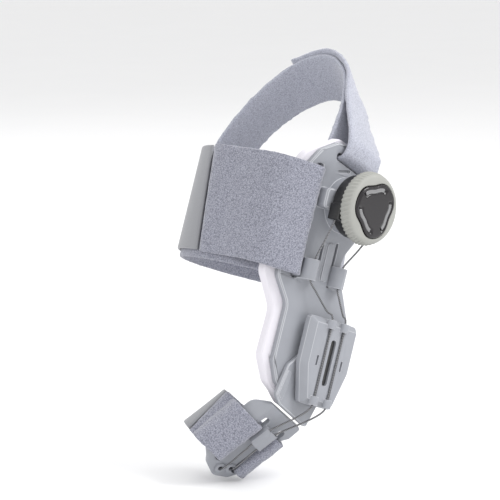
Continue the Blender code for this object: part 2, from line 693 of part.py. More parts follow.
def toe_strap_parts():
    inner, outer = FABRIC / 2, 1.5 * FABRIC + GAP
    edge = TOE_OUTLINE[3][0]
    slot = TOE_SLOT_PLANTAR
    start = [(9.5, TOE_THICK + 1.6), (slot - 2.6, TOE_THICK + 1.8), (slot - 0.3, 3.4),
             (slot + 0.3, 1.4), (slot + 0.2, -0.3), (slot + 1.4, -1.8), (edge + 0.2, -1.6),
             (edge + 1.5, 0.6), (edge + 1.7, 4.0)]
    x0 = TOE_SLOT_DORSAL
    rise = [(-3.0, 10.6), (-0.5, 7.4), (x0 - 0.9, 5.2), (x0, 2.8), (x0, 0.4)]
    fold = [(x0 - 0.7, -1.6), (x0 - 3.2, -1.9), (-3.4, -0.3), (-6.4, 2.4), (-8.3, 5.6), (-8.2, 9.5)]
    path = start + oval(TOE, inner, -25, 200) + rise + fold + oval(TOE, outer, 190, 172)
    mid = -(TOE_T + TOE_W / 2)
    strap = flat_strap("toe_strap", smooth_path(path, 2.6), mid, TOE_W, FABRIC, "loop_fabric",
                       TOE_STRAP_SLANT)
    tab_path = oval(TOE, FABRIC + GAP + TAB_THICK / 2 + 0.1, 168, 30)
    tab = flat_strap("toe_hook_tab", smooth_path(tab_path, 2.6), mid, TOE_W - 1.0, TAB_THICK,
                     "hook_tab", TOE_STRAP_SLANT)
    return [strap, tab]


# Cables

def upper_cables():
    made = []
    for side, name in ((0, "cable_left_upper"), (1, "cable_right_upper")):
        sign = 2 * side - 1
        guide_x, bore_y = GUIDE_X[side], PLATE_OUT - GUIDE_BORE
        exit_y = BOSS_OUT - GAP - BASE_HEIGHT / 2
        start = (DIAL_X + sign * SNOUT_X, exit_y, DIAL_Z + SNOUT_Z - GAP)
        low, high = GUIDE_Z
        points = [start, (0.5 * (start[0] + guide_x), 0.5 * (exit_y + bore_y), 0.5 * (start[2] + high)),
                  (guide_x, bore_y, high - 0.5), (guide_x, bore_y, low + 0.5)]
        enter = (sign * TRACK_X, COVER_OUT, 22.3)
        mid = [guide_x + t * (enter[0] - guide_x) for t in (0.3, 0.75)]
        points += [(mid[0], bore_y - 1.5, 32.6), (mid[1], COVER_OUT + 1.6, 25.8), enter,
                   (enter[0], COVER_OUT, 2.0), (enter[0], COVER_OUT, -17.1)]
        made.append(cable(name, points))
    return made


def span_cables(turn, place, along):
    made = []
    for side, name in ((0, "cable_left_span"), (1, "cable_right_span")):
        start = np.array((TRACK_X * (2 * side - 1), COVER_OUT, -17.1 - GAP))
        end = turn @ Vector((TOE_TRACK_W[side], -TOE_BORE, -TOE_GUIDE_T[0] + GAP)) + place
        down = np.array((0.0, 0.0, -14.0))
        points = hermite(start, down, np.array(end), np.array(along) * 12.0)
        made.append(cable(name, points))
    return made


def toe_cables():
    made = []
    for side, name in ((0, "cable_left_toe"), (1, "cable_right_toe")):
        w = TOE_TRACK_W[side]
        end_w, end_t = TOE_ANCHOR[side]
        t0, t1 = TOE_GUIDE_T
        points = [(w, -TOE_BORE, -t0), (w, -TOE_BORE, -t1 - 0.5),
                  (0.35 * w + 0.65 * end_w, -TOE_BORE + 0.2, -0.35 * t1 - 0.65 * end_t),
                  (end_w, -1.9, -end_t + 1.0), (end_w, 0.6, -end_t)]
        made.append(cable(name, points, "steel", 2.2))
    return made


def empty(name, parent, place=(0, 0, 0), turn=None):
    """Plain frame that pieces are parented to."""
    holder = bpy.data.objects.new(name, None)
    holder.empty_display_size = 0.01
    bpy.context.scene.collection.objects.link(holder)
    holder.parent = parent
    holder.location = Vector(place) * MM
    if turn is not None:
        holder.rotation_mode = "XYZ"
        holder.rotation_euler = turn
    return holder


def assemble():
    clear_scene()
    brace = empty("brace", None, (0, 0, 0), (0.0, math.radians(LEAN), 0.0))
    for obj in [main_plate(), foam_pad(), cover_plate(), slot_insert(), heel_strap()]:
        obj.parent = brace
    for obj in instep_parts() + upper_cables():
        obj.parent = brace
    dial = empty("dial_axis", brace, (DIAL_X, 0, DIAL_Z))
    for obj in [dial_base(), dial_shaft()] + dial_turning():
        obj.parent = dial
    turn, place, along = toe_frame()
    flex = empty("toe_flex_axis", brace)
    for obj in [toe_arm()] + span_cables(turn, place, along):
        obj.parent = flex
    fold = empty("toe_spread_axis", flex, place, turn.to_euler("XYZ"))
    for obj in [toe_plate()] + toe_strap_parts() + toe_cables():
        obj.parent = fold


assemble()
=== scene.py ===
# %% [markdown]
# # A bunion corrector, dressed
# The real object is a grey moulded splint on the inner side of the foot. A dial
# winds two steel cables that pull the big toe straight, and three fuzzy straps
# hold it on. The CAD frame gives every place and size, and these cells add
# rounded edges, cloth pile, ribs and finishes.

import math

import bmesh
import bpy
import numpy as np
from mathutils import Matrix, Vector


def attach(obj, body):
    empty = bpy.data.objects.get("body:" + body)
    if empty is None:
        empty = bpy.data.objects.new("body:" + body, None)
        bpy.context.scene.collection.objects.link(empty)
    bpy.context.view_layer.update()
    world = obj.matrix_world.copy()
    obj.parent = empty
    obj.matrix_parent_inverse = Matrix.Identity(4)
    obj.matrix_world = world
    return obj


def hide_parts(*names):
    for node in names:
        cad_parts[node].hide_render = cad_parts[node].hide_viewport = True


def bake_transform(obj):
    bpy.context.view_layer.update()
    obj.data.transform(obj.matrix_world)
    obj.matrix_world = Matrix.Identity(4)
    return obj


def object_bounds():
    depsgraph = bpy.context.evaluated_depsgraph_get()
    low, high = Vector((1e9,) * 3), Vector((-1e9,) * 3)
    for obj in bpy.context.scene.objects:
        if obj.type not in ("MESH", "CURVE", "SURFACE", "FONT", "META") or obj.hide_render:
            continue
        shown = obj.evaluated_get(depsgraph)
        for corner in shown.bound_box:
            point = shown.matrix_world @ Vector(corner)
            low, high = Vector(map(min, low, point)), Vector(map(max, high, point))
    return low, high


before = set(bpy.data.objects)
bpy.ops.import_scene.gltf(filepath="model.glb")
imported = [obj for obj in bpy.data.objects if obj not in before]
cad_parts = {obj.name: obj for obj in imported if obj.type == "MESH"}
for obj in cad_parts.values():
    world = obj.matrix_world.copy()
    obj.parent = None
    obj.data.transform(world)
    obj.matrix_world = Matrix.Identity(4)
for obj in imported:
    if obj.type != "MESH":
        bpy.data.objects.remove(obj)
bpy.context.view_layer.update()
MM = 0.001

# %% [markdown]
# ## Two working frames
# The splint leans 19.3 degrees as the foot stands on tiptoe, and the toe plate is
# folded in from the arm. Each piece is easiest to describe upright, so its points
# are written in the splint's or the toe plate's own frame in millimetres, and one
# matrix product carries a whole array of them to its place.

# %% Frames of the splint and of the toe plate
LEAN, ARM_TURN, TOE_FOLD, ARM_REACH = 19.3, 19.4, 36.0, 25.8
ARM_OUT, COVER_OUT, PLATE_OUT = -10.5, -16.8, -8.0


def turned(axis, degrees):
    """Turn about one axis as a 3 by 3 array."""
    return np.array(Matrix.Rotation(math.radians(degrees), 3, axis))


ARM_DOWN = turned("Y", ARM_TURN) @ np.array((0.0, 0.0, -1.0))
ACROSS = turned("Y", ARM_TURN) @ np.array((1.0, 0.0, 0.0))
INWARD = np.array((0.0, 1.0, 0.0))
ALONG = ARM_DOWN * math.cos(math.radians(TOE_FOLD)) + INWARD * math.sin(math.radians(TOE_FOLD))
DEPTH = INWARD * math.cos(math.radians(TOE_FOLD)) - ARM_DOWN * math.sin(math.radians(TOE_FOLD))
FOLD_PLACE = ARM_DOWN * ARM_REACH - ACROSS * 10.8 + INWARD * (ARM_OUT + 0.6)


def on_splint(points):
    """Places points of the splint's frame: turned by the lean, then in metres."""
    return np.asarray(points, float) @ turned("Y", LEAN).T * MM


def on_toe(points):
    """Places points of the toe plate's frame: its three axes, its corner, then the lean."""
    points = np.asarray(points, float)
    local = (points[:, :1] * ACROSS + points[:, 1:2] * DEPTH - points[:, 2:3] * ALONG)
    return on_splint(local + FOLD_PLACE)


print("toe corner", on_toe([(0, 0, 0)]).round(4))

# %% [markdown]
# ## The camera comes first
# The photo looks from the front left, a little above the splint, through a long
# lens, so lines stay nearly parallel. The camera sits 1.15 m away on that line.

# %% Camera
VIEW_AZIMUTH, VIEW_HEIGHT, VIEW_DISTANCE = -44.6, 9.0, 1.15
TARGET = Vector((-0.0193, 0.0138, 0.0539))
SEEN_WIDTH = 0.227


def add_camera():
    """Camera whose width at the target is SEEN_WIDTH, looking along the view line."""
    azimuth, height = math.radians(VIEW_AZIMUTH), math.radians(VIEW_HEIGHT)
    back = Vector((math.sin(azimuth) * math.cos(height), -math.cos(azimuth) * math.cos(height),
                   math.sin(height)))
    data = bpy.data.cameras.new("photo_camera")
    camera = bpy.data.objects.new("photo_camera", data)
    bpy.context.scene.collection.objects.link(camera)
    camera.location = TARGET + back * VIEW_DISTANCE
    camera.rotation_euler = (-back).to_track_quat("-Z", "Y").to_euler()
    data.lens = data.sensor_width * VIEW_DISTANCE / SEEN_WIDTH
    data.clip_end = 20.0
    bpy.context.scene.camera = camera
    return camera


camera = add_camera()
print("lens", round(camera.data.lens, 1))

# %% [markdown]
# ## Paths and straps
# A strap is a flat profile carried along a path. The path is a short table of
# points, joined by a smooth curve and cut to even steps. The profile is a flat
# bar with round edges, so the cloth catches light along its rim.

# %% Path helpers


def smooth_path(points, step):
    """Catmull-Rom curve through the table, then points at even steps of its length."""
    table = np.array(points, dtype=float)
    padded = np.vstack([2 * table[0] - table[1], table, 2 * table[-1] - table[-2]])
    t = np.linspace(0, 1, 16, endpoint=False)[:, None]
    rows = [0.5 * (2 * b + (c - a) * t + (2 * a - 5 * b + 4 * c - d) * t ** 2
                   + (3 * b - a - 3 * c + d) * t ** 3)
            for a, b, c, d in zip(padded, padded[1:], padded[2:], padded[3:])]
    dense = np.vstack(rows + [table[-1:]])
    gaps = np.linalg.norm(np.diff(dense[:, :3], axis=0), axis=1)
    run = np.concatenate([[0], np.cumsum(gaps)])
    even = np.linspace(0, run[-1], max(3, int(round(run[-1] / step)) + 1))
    return np.column_stack([np.interp(even, run, dense[:, k]) for k in range(dense.shape[1])])


def unit(rows):
    """Each row divided by its length."""
    return rows / np.linalg.norm(rows, axis=1)[:, None]


def oval(hollow, grow, start, end, step=8.0):
    """Arc round a hollow: centre plus grown half sizes times the cosine and sine."""
    cx, cy, a, b = hollow
    turns = np.radians(np.linspace(start, end, max(2, int(abs(end - start) / step) + 1)))
    return np.column_stack([cx + (a + grow) * np.cos(turns), cy + (b + grow) * np.sin(turns)])


def mesh_piece(name, verts, faces, body, material, uv=None):
    """Mesh object at the origin that rides on a body, with faces turned outwards."""
    mesh = bpy.data.meshes.new(name)
    mesh.from_pydata(np.asarray(verts).tolist(), [], faces)
    mesh.polygons.foreach_set("use_smooth", np.ones(len(mesh.polygons), bool))
    mesh.materials.append(material)
    if uv is not None:
        layer = mesh.uv_layers.new(name="UVMap")
        corner = np.empty(len(mesh.loops), np.int32)
        mesh.loops.foreach_get("vertex_index", corner)
        layer.data.foreach_set("uv", uv[corner].astype(np.float32).ravel())
    bm = bmesh.new()
    bm.from_mesh(mesh)
    bmesh.ops.recalc_face_normals(bm, faces=bm.faces)
    bm.to_mesh(mesh)
    bm.free()
    obj = bpy.data.objects.new(name, mesh)
    bpy.context.scene.collection.objects.link(obj)
    if body:
        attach(obj, body)
    return obj


def grid_faces(rows, columns, around=True, caps=True):
    """Quads between neighbouring rows of points, closed round each row, with end caps."""
    i = np.arange(rows - 1)[:, None] * columns
    k = np.arange(columns if around else columns - 1)[None, :]
    m = (k + 1) % columns
    quads = np.stack([i + k, i + m, i + columns + m, i + columns + k], axis=-1).reshape(-1, 4)
    faces = quads.tolist()
    if caps:
        faces += [list(range(columns))[::-1],
                  list(range((rows - 1) * columns, rows * columns))]
    return faces


def strap_profile(width, thick, across=2.0):
    """Flat bar with half-round edges: offsets along the width and the thickness."""
    r = thick / 2
    flat = np.linspace(-width / 2 + r, width / 2 - r, int(width / across) + 1)
    turn = np.linspace(-math.pi / 2, math.pi / 2, 7)[1:-1]
    u = np.concatenate([flat, width / 2 - r + r * np.cos(turn[::-1]), flat[::-1],
                        -width / 2 + r - r * np.cos(turn)])
    v = np.concatenate([0 * flat + r, r * np.sin(turn[::-1]), 0 * flat - r, r * np.sin(turn)])
    return u, v


def strap(name, rows, width, thick, place, body, material, ruffle=0.12, seed=1,
          start_cut=(0.0, 0.0), end_cut=(0.0, 0.0)):
    """Strap: every path point plus its width and normal directions times the profile.

    A seeded ruffle lifts the surface by a tenth of a millimetre, as brushed pile does.
    An end is cut at a slant by sliding its low and its high edge back along the path.
    """
    centre, across = rows[:, :3], unit(rows[:, 3:6])
    tangent = unit(np.gradient(centre, axis=0))
    across = unit(across - tangent * np.sum(across * tangent, axis=1)[:, None])
    normal = unit(np.cross(tangent, across))
    u, v = strap_profile(width, thick)
    taper = np.ones((len(centre), 1))
    taper[0] = taper[-1] = 0.55
    noise = np.random.default_rng(seed).normal(size=(len(centre), len(u))) * ruffle
    run = np.concatenate([[0], np.cumsum(np.linalg.norm(np.diff(centre, axis=0), axis=1))])
    low = np.clip(0.5 - u / width, 0, 1)[None, :]
    near = np.clip(1 - run / 20.0, 0, 1)[:, None]
    far = np.clip(1 - (run[-1] - run) / 20.0, 0, 1)[:, None]
    slide = (near * (low * start_cut[0] + (1 - low) * start_cut[1])
             - far * (low * end_cut[0] + (1 - low) * end_cut[1]))
    where = np.interp(run[:, None] + slide, run, np.arange(len(run)))
    below = np.minimum(where.astype(int), len(run) - 2)
    share = (where - below)[..., None]
    spot = [a[below] * (1 - share) + a[below + 1] * share for a in (centre, across, normal)]
    verts = (spot[0] + spot[1] * (u + 0.5 * noise * np.sign(u))[..., None]
             + spot[2] * (v * taper + noise * np.sign(v) * taper)[..., None])
    uv = np.stack(np.broadcast_arrays(run[:, None], u[None, :]), axis=-1).reshape(-1, 2) * MM
    return mesh_piece(name, place(verts.reshape(-1, 3)), grid_faces(len(centre), len(u)), body,
                      material, uv)


def tube(name, path, radius, place, body, material, sides=12):
    """Round tube: the path plus two cross directions times cosine and sine."""
    tangent = unit(np.gradient(path, axis=0))
    side = unit(np.cross(tangent, np.array((0.3, 0.2, 0.93))))
    up = np.cross(tangent, side)
    turn = np.linspace(0, 2 * math.pi, sides, endpoint=False)
    ring = side[:, None, :] * np.cos(turn)[None, :, None] + up[:, None, :] * np.sin(turn)[None, :, None]
    verts = path[:, None, :] + ring * radius
    run = np.concatenate([[0], np.cumsum(np.linalg.norm(np.diff(path, axis=0), axis=1))])
    uv = np.stack(np.broadcast_arrays(run[:, None] * MM, turn[None, :] / (2 * math.pi)),
                  axis=-1).reshape(-1, 2)
    return mesh_piece(name, place(verts.reshape(-1, 3)), grid_faces(len(path), sides), body,
                      material, uv)


# %% [markdown]
# ## Shared effects
# Moulded plastic, rubber and foam all have a fine grain, and the straps share one
# pile of tiny brushed loops. Both are node groups, so every material that uses
# them can set its own scale and strength.

# %% Node helpers and the two shared groups


class Tree:
    """Small helper that adds nodes to a tree and links them by socket name."""

    def __init__(self, tree):
        self.tree = tree

    def add(self, kind, values=None, **settings):
        node = self.tree.nodes.new("ShaderNode" + kind)
        for key, value in settings.items():
            setattr(node, key, value)
        for key, value in (values or {}).items():
            if isinstance(value, tuple) and hasattr(value[0], "outputs"):
                self.tree.links.new(value[0].outputs[value[1]], node.inputs[key])
            else:
                node.inputs[key].default_value = value
        return node


def group(name, inputs, outputs):
    """Shader node group with named float or colour sockets."""
    tree = bpy.data.node_groups.new(name, "ShaderNodeTree")
    for label, kind, value in inputs:
        socket = tree.interface.new_socket(label, in_out="INPUT", socket_type="NodeSocket" + kind)
        socket.default_value = value
    for label, kind in outputs:
        tree.interface.new_socket(label, in_out="OUTPUT", socket_type="NodeSocket" + kind)
    start = tree.nodes.new("NodeGroupInput")
    end = tree.nodes.new("NodeGroupOutput")
    return tree, Tree(tree), start, end


def make_grain():
    """Grain: two noises, a fine one for texture and a broad one for slow colour change."""
    tree, t, start, end = group("moulded_grain", [("Scale", "Float", 900.0)],
                                [("Fine", "Float"), ("Broad", "Float")])
    coords = t.add("TexCoord")
    fine = t.add("TexNoise", {"Vector": (coords, "Object"), "Scale": (start, "Scale"), "Detail": 4.0})
    slow = t.add("Math", {0: (start, "Scale"), 1: 0.045}, operation="MULTIPLY")
    broad = t.add("TexNoise", {"Vector": (coords, "Object"), "Scale": (slow, 0), "Detail": 2.0})
    tree.links.new(fine.outputs["Fac"], end.inputs["Fine"])
    tree.links.new(broad.outputs["Fac"], end.inputs["Broad"])
    return tree


def make_pile():
    """Pile: loops from cell distances, broken up by noise, with darker gaps between."""
    tree, t, start, end = group("loop_pile", [("Scale", "Float", 900.0)],
                                [("Tone", "Float"), ("Height", "Float")])
    coords = t.add("TexCoord")
    warp = t.add("TexNoise", {"Vector": (coords, "Object"), "Scale": 600.0, "Detail": 2.0})
    push = t.add("VectorMath", {0: (warp, "Color"), 1: (0.0016, 0.0016, 0.0016)},
                 operation="MULTIPLY")
    place = t.add("VectorMath", {0: (coords, "Object"), 1: (push, 0)}, operation="ADD")
    cells = t.add("TexVoronoi", {"Vector": (place, 0), "Scale": (start, "Scale"),
                                 "Randomness": 1.0})
    noise = t.add("TexNoise", {"Vector": (place, 0), "Scale": (start, "Scale"), "Detail": 5.0,
                               "Roughness": 0.7})
    lift = t.add("Math", {0: 1.0, 1: (cells, "Distance")}, operation="SUBTRACT")
    mix = t.add("Math", {0: (lift, 0), 1: (noise, "Fac")}, operation="MULTIPLY")
    tone = t.add("MapRange", {"Value": (mix, 0), "From Min": 0.12, "From Max": 0.5})
    tree.links.new(tone.outputs["Result"], end.inputs["Tone"])
    tree.links.new(mix.outputs[0], end.inputs["Height"])
    return tree


GRAIN, PILE = make_grain(), make_pile()
print("groups", GRAIN.name, PILE.name)

# %% [markdown]
# ## Finishes
# Each finish is one Principled shader: colour varies slowly over the moulding, and
# a fine bump breaks up its gloss. The pile's colour swings from pale loop tips to
# dark gaps, which is what makes the straps look fuzzy.

# %% Materials


def moulded(name, colour, roughness, bump=0.1, scale=2600.0, metallic=0.0, coat=0.0, vary=0.06):
    """Moulded finish: colour times one plus or minus vary, with a grain bump."""
    mat = bpy.data.materials.new(name)
    mat.use_nodes = True
    t = Tree(mat.node_tree)
    shader = mat.node_tree.nodes["Principled BSDF"]
    grain = t.add("Group", node_tree=GRAIN)
    grain.inputs["Scale"].default_value = scale
    dark = (*[c * (1 - vary) for c in colour], 1.0)
    light = (*[min(1.0, c * (1 + vary)) for c in colour], 1.0)
    mix = t.add("Mix", {0: (grain, "Broad"), 6: dark, 7: light}, data_type="RGBA")
    bumpy = t.add("Bump", {"Strength": bump, "Distance": 0.0001, "Height": (grain, "Fine")})
    rough = t.add("MapRange", {"Value": (grain, "Fine"), "To Min": roughness - 0.06,
                               "To Max": roughness + 0.08})
    links = mat.node_tree.links
    links.new(mix.outputs[2], shader.inputs["Base Color"])
    links.new(rough.outputs["Result"], shader.inputs["Roughness"])
    links.new(bumpy.outputs["Normal"], shader.inputs["Normal"])
    shader.inputs["Metallic"].default_value = metallic
    shader.inputs["Coat Weight"].default_value = coat
    return mat


def piled(name, pale, dark, scale, bump):
    """Brushed loop cloth: dark gaps to pale tips by the pile's tone."""
    mat = bpy.data.materials.new(name)
    mat.use_nodes = True
    t = Tree(mat.node_tree)
    shader = mat.node_tree.nodes["Principled BSDF"]
    pile = t.add("Group", node_tree=PILE)
    pile.inputs["Scale"].default_value = scale
    mix = t.add("Mix", {0: (pile, "Tone"), 6: (*dark, 1.0), 7: (*pale, 1.0)}, data_type="RGBA")
    bumpy = t.add("Bump", {"Strength": bump, "Distance": 0.0006, "Height": (pile, "Height")})
    links = mat.node_tree.links
    links.new(mix.outputs[2], shader.inputs["Base Color"])
    links.new(bumpy.outputs["Normal"], shader.inputs["Normal"])
    shader.inputs["Roughness"].default_value = 0.95
    shader.inputs["Sheen Weight"].default_value = 0.35
    shader.inputs["Sheen Roughness"].default_value = 0.5
    return mat


def woven(name, colour, pitch):
    """Smooth woven tab: two sets of fine ribs along the strap's own length and width."""
    mat = bpy.data.materials.new(name)
    mat.use_nodes = True
    t = Tree(mat.node_tree)
    shader = mat.node_tree.nodes["Principled BSDF"]
    uv = t.add("UVMap", uv_map="UVMap")
    warp = t.add("TexWave", {"Vector": (uv, "UV"), "Scale": 0.314 / pitch, "Distortion": 0.6},
                 bands_direction="X")
    weft = t.add("TexWave", {"Vector": (uv, "UV"), "Scale": 0.314 / pitch, "Distortion": 0.6},
                 bands_direction="Y")
    both = t.add("Math", {0: (warp, "Fac"), 1: (weft, "Fac")}, operation="MULTIPLY")
    dark = (*[c * 0.86 for c in colour], 1.0)
    mix = t.add("Mix", {0: (both, 0), 6: dark, 7: (*colour, 1.0)}, data_type="RGBA")
    bumpy = t.add("Bump", {"Strength": 0.25, "Distance": 0.0002, "Height": (both, 0)})
    links = mat.node_tree.links
    links.new(mix.outputs[2], shader.inputs["Base Color"])
    links.new(bumpy.outputs["Normal"], shader.inputs["Normal"])
    shader.inputs["Roughness"].default_value = 0.55
    shader.inputs["Sheen Weight"].default_value = 0.2
    return mat


def stranded(name):
    """Steel cable: slanted bands along its UV stand for the twisted strands."""
    mat = bpy.data.materials.new(name)
    mat.use_nodes = True
    t = Tree(mat.node_tree)
    shader = mat.node_tree.nodes["Principled BSDF"]
    uv = t.add("UVMap", uv_map="UVMap")
    slant = t.add("Mapping", {"Vector": (uv, "UV"), "Scale": (900.0, 3.0, 1.0),
                              "Rotation": (0.0, 0.0, 0.5)})
    wave = t.add("TexWave", {"Vector": (slant, 0), "Scale": 0.5, "Distortion": 0.3})
    mix = t.add("Mix", {0: (wave, "Fac"), 6: (0.05, 0.05, 0.055, 1), 7: (0.33, 0.33, 0.34, 1)},
                data_type="RGBA")
    bumpy = t.add("Bump", {"Strength": 0.5, "Distance": 0.0001, "Height": (wave, "Fac")})
    links = mat.node_tree.links
    links.new(mix.outputs[2], shader.inputs["Base Color"])
    links.new(bumpy.outputs["Normal"], shader.inputs["Normal"])
    shader.inputs["Metallic"].default_value = 1.0
    shader.inputs["Roughness"].default_value = 0.3
    return mat


GREY = moulded("splint_grey", (0.285, 0.295, 0.325), 0.42)
# Paler, glossier finish for the bevel strips: a painted highlight along the rims.
EDGE_HIGHLIGHT = moulded("splint_edge_painted_highlight", (0.45, 0.46, 0.49), 0.34)
DARK = moulded("housing_black", (0.012, 0.012, 0.013), 0.32, 0.05)
GLOSS = moulded("cap_black", (0.010, 0.008, 0.010), 0.16, 0.02)
CHANNEL = moulded("channel_grey", (0.20, 0.20, 0.205), 0.2, 0.02, coat=0.3)
RUBBER = moulded("ring_rubber", (0.33, 0.332, 0.31), 0.6, 0.25, 3200.0)
FOAM = moulded("pad_foam", (0.72, 0.70, 0.75), 0.85, 0.5, 1500.0, vary=0.03)
SHAFT = moulded("shaft_steel", (0.5, 0.5, 0.5), 0.35, 0.1, metallic=1.0)
FUZZ = piled("strap_pile", (0.44, 0.45, 0.53), (0.17, 0.175, 0.215), 1900.0, 0.55)
# Paler copy of the strap pile for the heel strap: painted light on its lit outer face.
LIT_PILE = piled("heel_pile_painted_light", (0.54, 0.555, 0.63), (0.30, 0.31, 0.37), 2100.0, 0.4)
TAB = woven("hook_tab", (0.27, 0.275, 0.295), 0.0006)
STEEL = stranded("cable_steel")
print("materials", len(bpy.data.materials))

# %% [markdown]
# ## Hard parts with rounded edges
# Injection moulding leaves every edge with a small radius. The CAD solids have
# sharp ones, so each hard part is a merged copy of its solid with a Bevel
# modifier. On the grey parts the rounded strip gets a paler, smoother finish, a
# painted highlight that gives thin light lines along the edges.

# %% Rounded copies of the moulded parts
ROUNDED = {
    # node: body, finish, edge radius in millimetres, slot
    "main_plate": ("brace", GREY, 0.25, "grey_plastic"),
    "cover_plate": ("brace", GREY, 0.3, "grey_plastic"),
    "slot_insert": ("brace", DARK, 0.2, "dark_plastic"),
    "dial_base": ("brace", DARK, 0.4, "dark_plastic"),
    "toe_arm": ("toe_arm", GREY, 0.3, "grey_plastic"),
    "toe_plate": ("toe_splint", GREY, 0.3, "grey_plastic"),
    "foam_pad": ("brace", FOAM, 0.9, "pad_foam"),
}


def rounded_copy(node, body, finish, radius, slot):
    """Copy of a CAD solid: doubles merged, flat faces joined, edges bevelled.

    The main plate keeps its triangles: joined faces with its slits folded under a bevel.
    """
    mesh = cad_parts[node].data.copy()
    bm = bmesh.new()
    bm.from_mesh(mesh)
    bmesh.ops.remove_doubles(bm, verts=bm.verts, dist=1e-6)
    if node != "main_plate":
        bmesh.ops.dissolve_limit(bm, angle_limit=math.radians(2.0), verts=bm.verts, edges=bm.edges)
    bm.to_mesh(mesh)
    bm.free()
    mesh.name = node + "_round"
    mesh.materials.clear()
    mesh.materials.append(finish)
    # Grey parts take the paler edge finish on their bevel strip, a painted highlight.
    if finish is GREY:
        mesh.materials.append(EDGE_HIGHLIGHT)
    mesh.polygons.foreach_set("use_smooth", np.ones(len(mesh.polygons), bool))
    obj = bpy.data.objects.new(node + "_round", mesh)
    bpy.context.scene.collection.objects.link(obj)
    bevel = obj.modifiers.new("edge", "BEVEL")
    bevel.width = radius * MM
    bevel.segments = 3
    bevel.limit_method = "ANGLE"
    bevel.angle_limit = math.radians(28)
    bevel.use_clamp_overlap = node != "main_plate"
    bevel.harden_normals = True
    bevel.material = len(mesh.materials) - 1
    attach(obj, body)
    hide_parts(node)
    return obj


for node, values in ROUNDED.items():
    piece = rounded_copy(node, *values)
    print(piece.name, len(piece.data.polygons), "faces")

# %% [markdown]
# ## The dial's rubber ring
# The grip is a soft ring with slanted ribs on its flank and a plain shoulder. It
# is one surface of revolution: a radius along a profile, plus a ripple that leans
# with height and fades towards the shoulder. Its lip leaves a rounded triangle
# free for the cap, so the lip's rows follow the cap's rim instead of a circle.

# %% Ring with slanted ribs
DIAL = (-5.7, 75.0)
RING_BACK, RING_FRONT, RING_HOLLOW = -21.3, -27.3, 13.9
RIBS = 50
CAP_FRONT, CAP_REACH, CAP_TURN = -28.2, 13.5, 80.0


def cap_rim(turn):
    """Rounded triangle: a circle cut back by the cosines of three and six times the angle."""
    angle = turn - math.radians(90.0 + CAP_TURN)
    return CAP_REACH * (0.895 + 0.085 * np.cos(3 * angle) - 0.02 * np.cos(6 * angle))


def dial_ring():
    """Radius = profile + ripple of (angle times ribs + lean times height), faded by height."""
    table = [(13.9, 0.0), (14.2, 0.02), (16.3, 0.0), (16.85, 0.06), (17.0, 0.16), (16.95, 0.3),
             (16.7, 0.45), (16.3, 0.62), (15.8, 0.78), (15.2, 0.9), (14.7, 0.97), (14.2, 1.0),
             (13.95, 0.98), (13.9, 0.88), (13.9, 0.78), (13.9, 0.77), (13.9, 0.6), (13.9, 0.2)]
    follow = [0.0] * 9 + [0.1, 0.5, 0.9, 1.0, 1.0, 1.0, 0.0, 0.0, 0.0]
    rows = smooth_path([(r, h, f) for (r, h), f in zip(table, follow)], 0.14)
    radius, height = rows[:, :1], rows[:, 1:2]
    turn = np.linspace(0, 2 * math.pi, 8 * RIBS, endpoint=False)[None, :]
    flank = np.clip((radius - 15.2) / 0.8, 0, 1) * np.clip((0.92 - height) / 0.35, 0, 1)
    ripple = np.cos(RIBS * turn + 7.0 * height) * 0.3 * flank
    r = radius + ripple - 0.3 * flank + rows[:, 2:3] * (cap_rim(turn) + 0.35 - RING_HOLLOW)
    y = RING_BACK + (RING_FRONT - RING_BACK) * height + 0 * turn
    verts = np.stack([DIAL[0] + r * np.cos(turn), y, DIAL[1] + r * np.sin(turn)], axis=-1)
    n, m = verts.shape[:2]
    faces = grid_faces(n, m, caps=False)
    k = np.arange(m)
    faces += np.stack([(n - 1) * m + k, (n - 1) * m + (k + 1) % m, (k + 1) % m, k], axis=-1).tolist()
    piece = mesh_piece("ribbed_ring", on_splint(verts.reshape(-1, 3)), faces, "dial", RUBBER)
    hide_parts("dial_ring")
    return piece


print(dial_ring().name, "made")

# %% [markdown]
# ## The dial's cap
# The face is a black rounded triangle with three grey channels along its sides. A
# grid of radius and angle makes it: the rim follows the triangle, and the height
# dips where a channel runs. The channels are narrow bars set in those dips.

# %% Cap and channels
def dial_cap():
    """Height = front level, rounded down near the rim, with a dip where a channel runs."""
    share = np.array([0.05, 0.2, 0.4, 0.55, 0.62, 0.66, 0.68, 0.70, 0.86, 0.88, 0.9, 0.94, 0.97,
                      0.99, 1.0, 1.0, 0.99])
    drop = np.array([0, 0, 0, 0, 0, 0, 0.3, 0.7, 0.7, 0.3, 0.04, 0.08, 0.2, 0.45, 0.8, 1.9, 2.2])
    turn = np.linspace(0, 2 * math.pi, 180, endpoint=False)
    side = 0.5 - 0.5 * np.cos(3 * (turn - math.radians(90 + CAP_TURN)))
    dip = np.clip((side - 0.12) / 0.12, 0, 1)
    is_dip = (share > 0.67) & (share < 0.89)
    low = np.where(is_dip[:, None], drop[:, None] * dip[None, :], drop[:, None])
    r = share[:, None] * cap_rim(turn)[None, :]
    x, z = DIAL[0] + r * np.cos(turn), DIAL[1] + r * np.sin(turn)
    verts = np.stack([x, CAP_FRONT + low, z], axis=-1)
    piece = mesh_piece("dial_cap_face", on_splint(verts.reshape(-1, 3)),
                       grid_faces(len(share), len(turn)), "dial", GLOSS)
    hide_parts("dial_cap")
    for k in range(3):
        middle = math.radians(90 + CAP_TURN + 60 + 120 * k)
        arc = np.linspace(middle - 0.66, middle + 0.66, 28)
        r = 0.78 * cap_rim(arc)
        rows = np.column_stack([DIAL[0] + r * np.cos(arc), 0 * arc + CAP_FRONT + 0.5,
                                DIAL[1] + r * np.sin(arc), np.cos(arc), 0 * arc, np.sin(arc)])
        bar = strap("dial_channel_%d" % k, rows, 1.9, 0.5, on_splint, "dial", CHANNEL, ruffle=0.0)
    return piece


print(dial_cap().name, "made")
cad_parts["dial_heart"].material_slots[0].material = CHANNEL
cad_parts["dial_shaft"].material_slots[0].material = SHAFT

